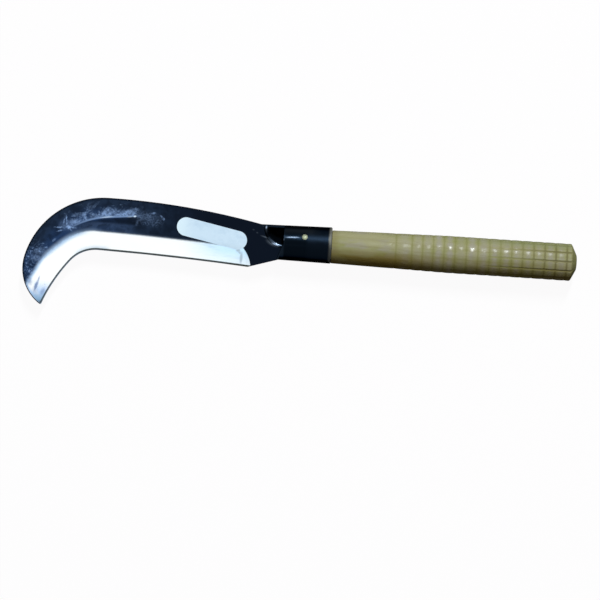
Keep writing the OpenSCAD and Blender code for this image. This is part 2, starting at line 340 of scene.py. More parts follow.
class Desk:
    """Lays out the shader nodes of one material or of the world, with lengths in millimetres."""

    def __init__(self, owner: Union[bpy.types.Material, bpy.types.World]) -> None:
        """Clears the owner's nodes.

        Args:
            owner: The material or the world.
        """
        owner.use_nodes = True
        owner.node_tree.nodes.clear()
        self.owner = owner

    def node(self, kind: str, **settings: object) -> bpy.types.Node:
        """Adds a node, whose kind is given without ShaderNode, and sets its own options."""
        made = self.owner.node_tree.nodes.new("ShaderNode" + kind)
        for name, value in settings.items():
            setattr(made, name, value)
        return made

    def feed(self, target: bpy.types.NodeSocket, value: object) -> None:
        """Links a value to a node's input, or sets a plain number, place or colour on it."""
        if isinstance(value, Value):
            self.owner.node_tree.links.new(value.socket, target)
        elif target.type == "RGBA":
            target.default_value = (*value, 1.0)
        else:
            target.default_value = value

    def run(self, kind: str, inputs: dict[Slot, object], out: Slot = 0, **settings: object) -> Value:
        """Adds a node, feeds its inputs and takes one of its outputs.

        Args:
            kind: The node's kind, without ShaderNode.
            inputs: What goes in, by the input's number or name.
            out: The number or name of the output.
            settings: The node's own options.

        Returns:
            The output's value.
        """
        made = self.node(kind, **settings)
        for name, value in inputs.items():
            self.feed(made.inputs[name], value)
        return Value(self, made.outputs[out])

    def math(self, how: str, *values: Amount) -> Value:
        """One step of arithmetic on numbers."""
        return self.run("Math", dict(enumerate(values)), operation=how)

    def vector(self, how: str, *values: object, out: str = "Vector") -> Value:
        """One step of arithmetic on places."""
        return self.run("VectorMath", dict(enumerate(values)), out, operation=how)

    def place(self) -> Value:
        """The point's place on the tool, in millimetres."""
        at = Value(self, self.node("TexCoord").outputs["Object"])
        scale = (1 / MM, 1 / MM, 1 / MM)
        return self.run("Mapping", {"Vector": at, "Scale": scale}, vector_type="POINT")

    def seen_by(self, *rays: str) -> Value:
        """1 where one of these kinds of ray meets the surface, and 0 elsewhere."""
        path = self.node("LightPath")
        return most(*(Value(self, path.outputs[ray]) for ray in rays))

    def show(self, surface: Value, end: str = "OutputMaterial") -> None:
        """Ends the layout in the surface that is shown."""
        self.feed(self.node(end).inputs["Surface"], surface)

    def finish(self, **inputs: object) -> bpy.types.Material:
        """Ends the layout in one Principled shader.

        Args:
            inputs: Values by input name, with _ for a space.

        Returns:
            The finished material.
        """
        named = {name.replace("_", " "): value for name, value in inputs.items()}
        self.show(self.run("BsdfPrincipled", named))
        return self.owner


@dataclass(frozen=True)
class BladeFinish:
    """Black lacquer over blued steel, rubbed through along the hook, and a bright ground bevel.

    Args:
        hook_run, beak_run, straight_run: Stretches along the back over which the looks change.
        ridge_middle, ridge_depth, ridge_bow: Where the hook's ridge line lies deepest, how deep, and its bow.
        keen_width: How far in from the cutting edge the dark strip of painted shade ends.
        curled, star, scuffs, bright: The lacquer's rubbed patches and scratches; the bright ones are painted
            highlights on the hook's ridge and at the neck.
        tip_streak, heel_shade_marks: A dark streak on the steel near the tip, and painted shade at the heel
            where the bevel runs out.
    """

    lacquer: Colour = (0.0029, 0.0053, 0.0116)
    hazed: Colour = (0.0126, 0.0238, 0.0500)
    blued: Colour = (0.0165, 0.0400, 0.1070)
    rubbed: Colour = (0.30, 0.46, 0.80)
    glint: Colour = (0.62, 0.76, 0.95)
    feather: Colour = (0.21, 0.29, 0.42)
    hook_feather: Colour = (0.46, 0.62, 0.88)
    ground: Colour = (0.94, 0.96, 0.97)
    edge_shade: Colour = (0.048, 0.055, 0.048)
    tip_blue: Colour = (0.44, 0.62, 0.90)
    tip_grey: Colour = (0.22, 0.36, 0.52)
    heel_blue: Colour = (0.60, 0.83, 1.00)
    heel_shade: Colour = (0.46, 0.64, 0.84)
    run_out_shade: Colour = (0.40, 0.50, 0.58)
    tip_dark: Colour = (0.06, 0.09, 0.10)
    bend_shade: Colour = (0.36, 0.50, 0.62)
    inner_blue: Colour = (0.37, 0.54, 0.74)
    streak: Colour = (0.22, 0.30, 0.48)
    beside_bevel: Colour = (0.034, 0.060, 0.125)
    mirrored: Colour = (0.5, 0.7, 1.0)
    hook_run: Span = (-28.0, -66.0)
    beak_run: Span = (-84.0, -94.0)
    straight_run: Span = (-22.0, 6.0)
    ridge_middle: float = 33.0
    ridge_depth: float = 18.4
    ridge_bow: float = 0.00135
    keen_width: Span = (1.25, 2.0)
    curled: tuple[Mark, ...] = (Mark(-134.0, 32.0, 18.0, 8.5, -9, 0.30, 0.2),)
    star: tuple[Mark, ...] = (
        Mark(-204.2, 25.5, 7.6, 1.0, 97, 0.95),
        Mark(-206.7, 25.2, 4.0, 0.9, 80, 0.70),
        Mark(-209.9, 19.5, 6.2, 0.9, -178, 0.85),
        Mark(-209.2, 16.9, 4.4, 1.0, 17, 0.60),
        Mark(-199.3, 20.4, 4.8, 0.9, 1, 0.95),
        Mark(-201.1, 18.6, 3.2, 1.0, -41, 0.60),
        Mark(-200.4, 23.6, 4.4, 0.9, 60, 0.60),
        Mark(-202.5, 20.6, 3.4, 2.1, -12, 1.50),
        Mark(-196.9, 25.3, 6.0, 4.2, 13, 0.85, 0.0),
        Mark(-203.5, 22.5, 10.0, 6.5, 10, 0.40, 0.0),
    )
    scuffs: tuple[Mark, ...] = (
        Mark(-214.0, 8.7, 3.0, 1.3, 46, 0.36),
        Mark(-220.9, 1.4, 1.8, 1.6, 4, 0.65),
        Mark(-223.6, 4.7, 1.5, 0.8, 14, 0.55),
        Mark(-226.2, -2.7, 2.0, 1.1, -10, 1.00),
        Mark(-228.6, -0.7, 1.8, 0.9, 18, 0.50),
        Mark(-223.1, -0.4, 1.9, 0.9, 37, 0.55),
        Mark(-225.9, -2.1, 8.0, 5.0, 18, 0.42, 0.0),
        Mark(-228.5, -8.3, 8.0, 4.6, -3, 0.46, 0.0),
        Mark(-230.5, -7.5, 1.8, 0.9, -21, 0.65),
        Mark(-226.5, -8.9, 1.6, 0.9, 26, 0.80),
        Mark(-233.9, -19.7, 1.4, 1.2, -25, 1.15),
        Mark(-236.7, -13.5, 1.3, 0.9, -30, 0.55),
        Mark(-129.2, 37.0, 3.2, 1.1, 9, 0.52),
        Mark(-122.0, 34.3, 3.4, 1.2, -30, 0.42),
        Mark(-120.4, 32.4, 2.4, 1.1, -80, 0.48),
        Mark(-140.9, 32.7, 5.0, 1.1, -23, 0.30),
        Mark(-143.2, 27.6, 3.6, 1.2, -108, 0.16),
        Mark(-135.4, 35.2, 5.0, 1.2, -12, 0.28),
        Mark(-132.4, 30.8, 4.6, 1.3, 0, 0.22),
        Mark(-134.0, 33.0, 17.0, 7.5, -7, 0.12, 0.0),
    )
    # Painted highlights: glints on the hook's ridge and at the neck.
    bright: tuple[Mark, ...] = (
        Mark(-169.6, 31.2, 8.6, 0.9, 10, 0.60, 0.0),
        Mark(-149.7, 32.7, 3.8, 0.7, 7, 0.30),
        Mark(-145.4, 33.4, 1.8, 1.0, 9, 1.00, 0.3),
        Mark(-41.7, 28.6, 1.6, 0.9, -13, 0.04, 0.0),
        Mark(-38.3, 26.2, 1.4, 0.9, -18, 0.05, 0.0),
        *NECK_GLINTS,
    )
    tip_streak: tuple[Mark, ...] = (
        Mark(-225.6, -26.9, 5.0, 1.2, -106, 0.75, 0.2),
        Mark(-227.4, -32.6, 7.6, 2.0, -106, 1.00, 0.3),
        Mark(-220.0, -30.8, 1.2, 1.0, -49, 0.35, 0.0),
        Mark(-221.3, -36.8, 6.2, 3.0, 66, 0.70, 0.0),
        Mark(-227.9, -36.2, 5.0, 3.4, -70, 0.45, 0.0),
        Mark(-233.2, -28.4, 6.0, 3.4, -76, 0.75, 0.0),
    )
    heel_shade_marks: tuple[Mark, ...] = (
        Mark(-50.9, 3.4, 7.4, 1.8, 88, 0.85, 0.3),
        Mark(-53.8, 9.6, 3.4, 1.9, -12, 0.95, 0.2),
        Mark(-52.4, 7.8, 2.8, 1.5, -40, 0.80, 0.2),
        Mark(-64.6, -2.6, 9.5, 1.8, 0, 0.45, 0.0),
    )

    def side(self, flat: Value, first: Arc, second: Arc) -> Value:
        """1 on the right of the line from one arc's centre to another's, and 0 on its left."""
        right = first.right(second)
        return flat.dot((*right, 0.0)).past(right[0] * second.x + right[1] * second.y)

    def from_edge(self, flat: Value) -> Value:
        """The distance inside the cutting edge, as BladeLines works it out."""
        a, b, c = LINES.edge, LINES.bend, LINES.hook
        far = [flat.distance((arc.x, arc.y, 0.0)) - arc.radius for arc in (a, b, c)]
        return self.side(flat, a, b).pick(self.side(flat, b, c).pick(far[1], far[2]), far[0])

    def from_back(self, flat: Value, x: Value) -> Value:
        """The distance inside the back of the blade."""
        a, b, c = LINES.spine, LINES.crown, LINES.beak
        far = [arc.radius - flat.distance((arc.x, arc.y, 0.0)) for arc in (a, b, c)]
        return x.past(b.x).pick(self.side(flat, c, b).pick(far[1], far[2]), far[0])

    def along(self, x: Value, y: Value) -> Value:
        """The distance along the back, less than 0 on the hook's side of the crown's top."""
        b = LINES.crown
        angle = x.desk.math("ARCTAN2", x - b.x, y - b.y)
        return x.past(b.x).pick(angle * b.radius, x - b.x)

    def ridge(self, run: Value, back: Value) -> Value:
        """How far below the hook's ridge line a point lies, and less than 0 above it."""
        bow = run + self.ridge_middle
        return back - (self.ridge_depth - bow * bow * self.ridge_bow)

    def limit(self, run: Value) -> Value:
        """How far inside the cutting edge the bare steel ends: the bevel's width, and more on the hook."""
        hook = run.step(-62.0, -96.0) * 2.8 - run.step(-98.0, -108.0) * 0.6
        straight = run.step(-30.0, -6.0) * 0.65 + run.step(8.0, 60.0) * 0.2
        return LINES.bevel_width + hook - straight

    def clouds(self, run: Value, back: Value, offset: Value) -> Value:
        """Cloudy rubbing above the ridge line, and a painted highlight along the ridge line itself."""
        ragged = join(run, back).noise(4.0, 3.0, 0.6)
        ends = run.step(-50.0, -36.0) * (run + ragged * 20.0).step(41.0, 28.0)
        cloud = join(run * 0.7, back).noise(7.0, 3.0, 0.6, 0.6).step(0.34, 0.66)
        slant = join(run * 1.2 + back * 0.9, back * 0.28)
        hairs = slant.noise(1.7, 3.0, 0.62, 0.2)
        near_ridge = offset.step(0.6, -0.4) * offset.step(-13.0, -1.0)
        thick = run.step(-26.0, 4.0).pick(0.3, 0.5)
        value = cloud * 0.38 + hairs * 0.4 + near_ridge * thick
        mass = value.step(0.46, 0.92) * offset.step(0.7, -0.2) * back.step(2.0, 5.0)
        grains = join(run * 0.8, back).noise(2.3, 3.0, 0.7, 0.6).step(0.36, 0.64)
        # A painted highlight along the hook's ridge line.
        line = offset.near(-0.3, 0.3, 0.9) * run.step(-46.0, -6.0).pick(0.45, 0.8)
        return most(mass * grains.pick(0.4, 1.08), line) * ends

    def body(
        self, flat: Value, x: Value, edge: Value, back: Value, run: Value, above: Value
    ) -> tuple[Value, Value]:
        """The lacquer's colour, near black at the socket and blue on the hook, and its mask of wear and of
        the ridge's painted highlight.
        """
        offset = self.ridge(run, back)
        blotches = flat.noise(8.0, 4.0, 0.6, 0.4)
        streaks = join(run * 0.25, back).noise(2.2, 3.0, 0.6)
        shade = offset.near(4.2, 1.6, 2.6) * run.near(-2.0, 26.0, 16.0) * streaks.pick(0.6, 1.2)
        haze = run.step(98.0, 2.0) * back.step(0.3, 2.5) * blotches.step(0.34, 0.66).pick(0.45, 1.2)
        inner = most(back.step(4.0, 17.0) * run.step(30.0, -10.0), run.step(-76.0, -100.0) * 0.8)
        beside = edge.near(20.5, 2.2, 3.0) * run.near(-14.0, 26.0, 16.0)

        # Beside the bevel the grinding left a blue feather, broad and pale on the hook.
        on_hook = run.step(*self.hook_run)
        on_straight = run.step(*self.straight_run)
        reach = on_straight.pick(run.step(*self.beak_run).pick(4.4, 2.8), 2.8)
        feather = (1.0 - (edge - self.limit(run)).share(reach)) ** on_hook.pick(2.3, 1.6)
        grit = flat.noise(2.0, 3.0, 0.6)
        sides = x.step(-58.0, -66.0) * back.step(0.6, 1.1)

        # Rubs and scratches on the upper face, with the ridge's painted highlight among them, and plain light
        # wear on the lower one.
        ragged = flat.shake(2.2, 0.8)
        patch = blotches.step(0.4, 0.6).pick(0.35, 1.0)
        specks = flat.noise(1.7, 4.0, 0.75, 0.4).step(0.5, 0.66) * patch
        drawn = most(ragged.marks(self.star), ragged.marks(self.scuffs))
        drawn = drawn * grit.step(0.34, 0.62).pick(0.45, 1.15)
        curls = flat.noise(4.6, 2.0, 0.5, 1.2).near(0.5, 0.012, 0.04) * flat.marks(self.curled)
        upper = most(
            self.clouds(run, back, offset),
            most(drawn, curls),
            specks * run.step(-74.0, -88.0) * back.step(0.6, 2.0) * 0.85,
        )
        lower = blotches.step(0.52, 0.7) * streaks.step(0.45, 0.62) * run.step(60.0, -20.0) * 0.6
        wear_and_glints = above.pick(lower, upper)
        body = paint(
            self.lacquer,
            (haze * (1.0 - shade * 0.85), inner.tint(self.hazed, self.blued)),
            (beside * blotches.step(0.36, 0.6).pick(0.35, 1.0) * 0.8, self.beside_bevel),
            (
                feather * on_straight.pick(0.85, 0.48) * sides * grit.pick(0.75, 1.2),
                on_hook.tint(self.feather, self.hook_feather),
            ),
            # The rubbed colour paints both the worn lacquer and the highlight along the ridge.
            (wear_and_glints * 0.68, self.rubbed),
            # Painted highlights, in the glint colour.
            (flat.marks(self.bright) * above, self.glint),
        )
        return body, wear_and_glints

    def steel(self, flat: Value, edge: Value, back: Value, run: Value, above: Value) -> Value:
        """The ground bevel's colours: white, blue at the tip, cooler and streaky at the heel, with painted
        shade on the bend, at the heel and along the cutting edge.
        """
        x, y, _ = flat.split()
        streaks = join(run * 0.16, edge).noise(2.6, 3.0, 0.55)
        mottled = flat.noise(4.0, 3.0, 0.6)
        shore = y + back.near(4.6, 0.8, 2.4) * 7.0
        heel = x.step(-108.0, -64.0) * edge.step(2.0, 13.0).pick(0.42, 1.0)
        bend = x.near(-181.0, 10.0, 8.0) * edge.step(5.2, 0.6) * mottled.pick(0.6, 1.1)
        fade = (edge - self.limit(run)) / run.step(*self.beak_run).pick(4.0, 2.6)
        inner = fade.step(-1.0, 0.1) * run.step(-18.0, -44.0)
        return paint(
            self.ground,
            (shore.step(-25.5, -38.0) * streaks.pick(0.7, 1.2) * 0.9, self.tip_blue),
            (y.step(-34.0, -45.0) * mottled.pick(0.7, 1.3), self.tip_grey),
            (y.step(-43.6, -47.4) * 0.9, self.tip_dark),
            (heel, self.heel_blue),
            (heel * streaks.step(0.5, 0.7) * edge.step(3.0, 8.0) * 0.6, self.heel_shade),
            (bend * 0.75, self.bend_shade),
            # Painted shade: grey marks at the heel, where the bevel runs out.
            (flat.marks(self.heel_shade_marks) * above, self.run_out_shade),
            (inner * 0.95, self.inner_blue),
            (flat.shake(3.0, 0.3).marks(self.tip_streak) * above, self.streak),
            # Painted shade: a dark strip along the cutting edge.
            (edge.step(*reversed(self.keen_width)), self.edge_shade),
        )

    def make(self) -> bpy.types.Material:
        """Lays out the blade's finish and gives its material."""
        desk = Desk(bpy.data.materials.new("blade_finish"))
        at = desk.place()
        x, y, z = at.split()
        flat = join(x, y)
        edge = self.from_edge(flat)
        back = self.from_back(flat, x)
        run = self.along(x, y)
        fine = at.noise(2.2, 3.0, 0.6)

        # Bare steel wherever the grinding went under the plate's face, and a rim beside it on the hook.
        below = abs(z - LINES.middle_z)
        ragged = (fine - 0.5) * 0.1
        ground = (below + ragged).step(LINES.half_plate - 0.02, LINES.half_plate - 0.15)
        frayed = (fine - 0.5) * run.step(-30.0, -60.0).pick(0.4, 2.6)
        limit = self.limit(run) + frayed
        rim = (edge - limit).step(1.1, -0.9) * back.step(1.4, 2.4) * x.step(-56.0, -60.0)
        inside = back.step(0.8, 1.3) * x.step(-38.0, -44.0) * below.step(0.05, 0.35)
        bare = most(ground, rim) * inside
        above = z.past(LINES.middle_z)
        body, wear_and_glints = self.body(flat, x, edge, back, run, above)
        colour = bare.tint(body, self.steel(flat, edge, back, run, above))

        # Fine lines of the grinding run across the bevel, and the lacquer has a soft orange peel.
        lines = join(run * 5.0, edge * 0.35, z).noise(1.0, 3.0, 0.7)
        dents = join(run * 0.8, back, z).noise(11.0, 1.0, 0.4)
        fine_relief = bare.pick(at.noise(1.3, 2.0, 0.5) * 0.16 + wear_and_glints * fine * 0.5, lines * 0.35)
        dull = 0.2 + wear_and_glints * 0.26 + at.noise(9.0, 3.0, 0.55) * 0.12
        return desk.finish(
            Base_Color=colour,
            Metallic=bare * edge.step(*self.keen_width) * 0.92,
            Roughness=bare.pick(dull, 0.26 + lines * 0.14),
            Specular_IOR_Level=0.05,
            Specular_Tint=self.mirrored,
            Normal=relief((dents, 0.22), (fine_relief, 0.05)),
        )


@dataclass(frozen=True)
class EnamelFinish:
    """Thick black enamel on hammered steel, as on the socket and its weld.

    Args:
        name: The material's name.
        colour: The enamel.
        haze: Where dust has dulled it.
        wear_and_glints: The bright steel colour of the painted highlights on the neck and the socket.
        bare_mouth: The same on the socket's mouth.
        rim_shade: The near black painted as shade over the lit rim of the scoop in front of the socket.
        dent_depth: How deep the hammering goes.
    """

    name: str
    colour: Colour = (0.0024, 0.0046, 0.0078)
    haze: Colour = (0.0064, 0.0105, 0.0190)
    wear_and_glints: Colour = (0.42, 0.54, 0.72)
    lit_side: Colour = (0.0150, 0.0180, 0.0215)
    neck: Colour = (0.0090, 0.0150, 0.0240)
    bare_mouth: Colour = (0.19, 0.19, 0.165)
    rim_shade: Colour = (0.0003, 0.0005, 0.0008)
    mirrored: Colour = (0.10, 0.10, 0.10)
    dent_depth: float = 0.09
    # Painted highlights: the neck's glints, a glint on the socket's front rim, and the highlight along the
    # socket's upper side.
    neck_and_socket_glints: tuple[Mark, ...] = (
        *NECK_GLINTS,
        Mark(-15.1, 21.6, 1.8, 0.8, -88, 0.40, 0.0),
        Mark(-7.4, 23.9, 7.6, 0.9, 3, 0.11, 0.3),
    )
    shades: tuple[Mark, ...] = (Mark(-29.7, 26.4, 5.6, 4.4, -70, 1.00, 0.5),)

    def make(self) -> bpy.types.Material:
        """Lays out the enamel and gives its material."""
        desk = Desk(bpy.data.materials.new(self.name))
        at = desk.place()
        x, y, z = at.split()
        flat = join(x, y)
        grit = at.noise(1.6, 3.0, 0.6)
        peel = at.noise(0.9, 2.0, 0.5)
        smears = at.noise(12.0, 4.0, 0.6, 0.6).step(0.42, 0.66)
        dusty = x.step(3.0, 8.0) * smears.pick(0.6, 1.0)
        upper = y.step(25.5, 31.5) * x.step(19.0, 4.0) * x.step(-15.5, -13.5)
        mouth = x.step(SOCKET.mouth_x - 3.4, SOCKET.mouth_x - 1.0) * grit.pick(0.4, 1.0)
        above = z.step(LINES.middle_z, LINES.middle_z + 2.0)
        # Painted shade over the lit rim of the scoop in front of the socket, which is also made rougher.
        shaded = flat.marks(self.shades) * 0.9
        colour = paint(
            self.colour,
            (dusty * 0.28, self.haze),
            (upper * 0.65, self.lit_side),
            # Painted fill light: the neck, with the scoop in front of the socket, is lightened to a bluish
            # black.
            (x.step(-13.5, -15.5) * 0.8, self.neck),
            (mouth * y.step(14.0, 23.0).pick(0.4, 0.95), self.bare_mouth),
            # Painted highlights, in a bright bare-steel colour.
            (flat.marks(self.neck_and_socket_glints) * above * grit.pick(0.7, 1.0), self.wear_and_glints),
            (shaded, self.rim_shade),
        )
        dents = at.noise(9.0, 1.0, 0.4)
        runs = join(x * 0.4, y, z).noise(3.0, 2.0, 0.5)
        return desk.finish(
            Base_Color=colour,
            Metallic=mouth.pick(0.85, 0.2),
            Roughness=0.21 + dusty * 0.2 + peel * 0.04 + mouth * 0.3 + shaded * 0.3,
            Specular_IOR_Level=0.0,
            Specular_Tint=self.mirrored,
            Normal=relief((dents, self.dent_depth), (runs, 0.03), (peel, 0.006)),
        )


@dataclass(frozen=True)
class GripFinish:
    """Pale, yellow-green hardwood under a thick clear lacquer, darker in its grooves."""

    pale: Colour = (0.300, 0.288, 0.165)
    olive: Colour = (0.245, 0.250, 0.105)
    pink: Colour = (0.290, 0.275, 0.210)
    grain: Colour = (0.185, 0.155, 0.060)
    groove_olive: Colour = (0.185, 0.185, 0.060)
    deep: Colour = (0.100, 0.085, 0.032)
    stain_and_shade_brown: Colour = (0.165, 0.118, 0.016)
    green: Colour = (0.185, 0.200, 0.085)
    pore: Colour = (0.12, 0.09, 0.035)
    end_pore: Colour = (0.10, 0.075, 0.030)
    chip: Colour = (0.46, 0.46, 0.40)

    def depth(self, at: Value) -> Value:
        """How far a place lies below the grip's surface as it was before the grooves were cut."""
        x, y, z = at.split()
        out = at.desk.math("SQRT", (y - GRIP.axis_y) ** 2.0 + (z - GRIP.axis_z) ** 2.0)
        slope = (GRIP.grip_r - GRIP.throat_r) / GRIP.swell
        full = GRIP.throat_r + (x - GRIP.throat_x) * slope
        return at.desk.math("MINIMUM", GRIP.grip_r, full) - out

    def growth(self, at: Value, slope: Place, drift: float) -> Value:
        """Growth rings, from -1 to 1, that lie square to a slope and drift to and fro."""
        x, y, z = at.split()
        wander = join(x * 0.05, y, z).noise(9.0, 2.0, 0.5)
        return at.desk.math("SINE", (at.dot(slope) + wander * drift) * math.pi)

    def side_grain(self, at: Value, depth: Value, sunk: Value, bands: Value, fibres: Value) -> Value:
        """The wood's colours along the grip, with painted shade on its low side and beside the socket's
        mouth, and a painted sheen on the pads.
        """
        x, y, z = at.split()
        rings = self.growth(at, (0.004, 0.42, 0.147), 7.0)
        pores = join(x * 0.11, y, z).noise(0.42, 2.0, 0.5)
        blotch = join(x * 0.4, y, z).noise(16.0, 3.0, 0.55)
        patch = join(x * 0.35, y, z).noise(8.0, 2.0, 0.5)
        pads = depth.step(0.19, 0.06) * x.step(78.0, 92.0)
        near_butt = x.step(170.0, 225.0)
        low = y.step(GRIP.axis_y + 1.0, GRIP.axis_y - 9.5) * patch.step(0.36, 0.6).pick(0.6, 1.0)
        top = y.step(GRIP.axis_y + 8.5, GRIP.axis_y + 14.0) * x.step(120.0, 190.0)
        chips = at.noise(1.3, 3.0, 0.65).step(0.6, 0.72) * x.step(165.0, 200.0) * depth.step(0.5, 0.2)
        mouth_shade = x.step(GRIP.throat_x + 9.0, GRIP.throat_x + 1.0) * blotch.pick(0.4, 1.0)
        return paint(
            self.pale,
            (blotch.step(0.35, 0.65), self.olive),
            # The grey-pink on the pads' middles is partly the wood's tone and partly a painted sheen around
            # the glints.
            (pads * bands.step(0.4, 0.62).pick(0.45, 1.0), self.pink),
            (patch.step(0.48, 0.64) * x.step(92.0, 70.0) * 0.8, self.pink),
            (rings.step(0.1, 1.0) * 0.18, self.grain),
            (fibres.step(0.48, 0.72) * 0.26, self.grain),
            (pores.step(0.66, 0.76) * 0.5, self.pore),
            # The grooves are darker: olive, and near black towards the butt.
            (sunk * near_butt.pick(0.5, 0.62), near_butt.tint(self.groove_olive, self.deep)),
            # Brown blotches on the low side, away from the key lamp: partly stains, partly painted shade.
            (low * x.step(70.0, 130.0).pick(0.9, 0.45), self.stain_and_shade_brown),
            (top * 0.65, self.green),
            (chips * y.step(GRIP.axis_y - 7.0, GRIP.axis_y) * 0.4, self.chip),
            # Painted shade: the wood next to the socket's mouth is darker, where the lacquer's sheen is
            # missing.
            (mouth_shade * 0.7, self.grain),
        )

    def end_grain(self, at: Value) -> Value:
        """The butt's colours: growth rings cut square across."""
        rounds = self.growth(at, (0.0, 0.9, 0.3), 6.0)
        pores = at.noise(0.5, 2.0).step(0.6, 0.75)
        return paint(self.olive, (rounds.step(-0.2, 0.9) * 0.55, self.grain), (pores * 0.6, self.end_pore))

    def shine(self, at: Value, depth: Value, sunk: Value, bands: Value) -> Value:
        """How much of the clear lacquer shows: least in the grooves and on the low side."""
        x, y, _ = at.split()
        rubbed = most(x.step(84.0, 74.0), x.step(180.0, 205.0) * 0.85, at.noise(6.0, 2.0).step(0.46, 0.62))
        middle = depth.step(0.13, 0.06).pick(0.1, 1.0)
        high = y.step(GRIP.axis_y - 11.0, GRIP.axis_y - 4.0).pick(0.15, 1.0)
        gloss = bands.step(0.36, 0.58).pick(0.35, 1.0)
        return rubbed.pick(0.45, 0.05) * middle * high * gloss * (1.0 - sunk * 0.8)

    def make(self) -> bpy.types.Material:
        """Lays out the wood and gives its material."""
        desk = Desk(bpy.data.materials.new("grip_finish"))
        at = desk.place()
        x, y, z = at.split()
        depth = self.depth(at)
        sunk = depth.step(0.17, 0.34) * x.step(GRIP.butt_x - 4.5, GRIP.butt_x - 6.0)
        bands = join(x, y * 0.15, z * 0.15).noise(7.0, 2.0, 0.5)
        fibres = join(x * 0.045, y, z).noise(0.75, 4.0, 0.65)
        tool_marks = join(x * 1.4, y * 0.1, z * 0.1).noise(1.2, 2.0, 0.5)
        grain = join(x * 0.3, y, z).noise(1.6, 2.0, 0.6)
        end = x.step(GRIP.butt_x - 5.5, GRIP.butt_x - 4.0) * 0.85
        return desk.finish(
            Base_Color=paint(self.side_grain(at, depth, sunk, bands, fibres), (end, self.end_grain(at))),
            Roughness=0.6,
            Specular_IOR_Level=0.0,
            Coat_Weight=self.shine(at, depth, sunk, bands),
            Coat_Roughness=0.20,
            Normal=relief(
                (at.noise(7.0, 1.0, 0.5), 0.2),
                (at.noise(2.4, 1.0), 0.05),
                (tool_marks, 0.03),
                (grain, 0.1),
                (fibres, 0.045),
            ),
        )


@dataclass(frozen=True)
class BrassFinish:
    """A small brass nail, dulled and touched by the lacquer."""

    clean: Colour = (0.34, 0.37, 0.25)
    dull: Colour = (0.19, 0.21, 0.14)

    def make(self) -> bpy.types.Material:
        """Lays out the brass and gives its material."""
        desk = Desk(bpy.data.materials.new("nail_finish"))
        at = desk.place()
        cloudy = at.noise(1.4, 3.0, 0.6)
        return desk.finish(
            Base_Color=cloudy.step(0.42, 0.66).tint(self.clean, self.dull),
            Metallic=0.35,
            Roughness=0.44 + cloudy * 0.2,
            Specular_IOR_Level=0.2,
            Normal=relief((at.noise(0.8, 2.0), 0.05)),
        )


@dataclass(frozen=True)
class LabelFinish:
    """A blank, pale, coated paper label."""

    paper: Colour = (0.60, 0.76, 0.91)
    shade: Colour = (0.53, 0.69, 0.85)
    left: Colour = (0.72, 0.88, 0.98)

    def make(self) -> bpy.types.Material:
        """Lays out the paper and gives its material."""
        desk = Desk(bpy.data.materials.new("label_finish"))
        at = desk.place()
        fibres = at.noise(0.5, 3.0, 0.6)
        shaded = at.noise(9.0, 3.0, 0.55).step(0.4, 0.7)
        left_end = at.split()[0].step(-92.0, -107.0) * 0.8
        return desk.finish(
            Base_Color=paint(self.paper, (shaded, self.shade), (left_end, self.left)),
            Roughness=0.34 + fibres * 0.12,
            Specular_IOR_Level=0.5,
            Coat_Weight=0.25,
            Coat_Roughness=0.2,
            Normal=relief((at.noise(6.0, 1.0), 0.1), (fibres, 0.008)),
        )


# The pieces.


class Shading(Enum):
    """Which faces of a piece are shaded round."""

    ALL = "all"
    SIDES = "all but those that look straight up or down"


def put(name: str, data: bpy.types.ID) -> bpy.types.Object:
    """Makes an object and puts it into the scene."""
    made = bpy.data.objects.new(name, data)
    bpy.context.scene.collection.objects.link(made)
    return made


def spin(bm: bmesh.types.BMesh, outline: list[Vector], centre: Vector, axis: Vector, steps: int) -> None:
    """Turns an outline about an axis into a skin without double points."""
    chain = [bm.verts.new(point) for point in outline]
    edges = [bm.edges.new(pair) for pair in zip(chain, chain[1:])]
    turn = {"cent": centre, "axis": axis, "angle": 2 * math.pi, "steps": steps}
    bmesh.ops.spin(bm, geom=chain + edges, use_merge=True, **turn)
    bmesh.ops.remove_doubles(bm, verts=bm.verts[:], dist=SAME_POINT * MM)


def only(kind: type, made: list) -> list:
    """The points or the edges among what an operator made."""
    return [part for part in made if isinstance(part, kind)]


@dataclass
class Piece:
    """One piece of the tool, made in the tool's frame.

    Args:
        name: The piece's name.
        slot: Not used. The piece's material slot, or None for a piece that has none.
        stands_for: The frame's nodes that it takes the place of.
        shading: Which of its faces are shaded round.
        crease: The angle in degrees past which an edge stays crisp.
    """

    name: str
    slot: Optional[str]
    stands_for: tuple[str, ...] = ()
    shading: Shading = Shading.ALL
    crease: float = 35.0

    def shape(self, bm: bmesh.types.BMesh) -> None:
        """Builds the mesh."""
        raise NotImplementedError

    def refine(self, made: bpy.types.Object) -> None:
        """Adds the modifiers that a piece needs; most need none."""

    def build(self, finish: bpy.types.Material) -> bpy.types.Object:
        """Makes the piece, dresses it and puts it on the tool.

        Args:
            finish: The material that it wears.

        Returns:
            The finished object.
        """
        mesh = bpy.data.meshes.new(self.name)
        bm = bmesh.new()
        self.shape(bm)
        for face in bm.faces:
            face.smooth = self.shading is Shading.ALL or abs(face.normal.z) < FACES_UP
        for edge in bm.edges:
            if len(edge.link_faces) == 2:
                edge.smooth = edge.calc_face_angle(0.0) < math.radians(self.crease)
        bm.to_mesh(mesh)
        bm.free()
        mesh.materials.append(finish)
        made = put(self.name, mesh)
        self.refine(made)
        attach(made, "root")
        if self.stands_for:
            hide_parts(*self.stands_for)
        log.info("%s: %d faces", self.name, len(mesh.polygons))
        return made


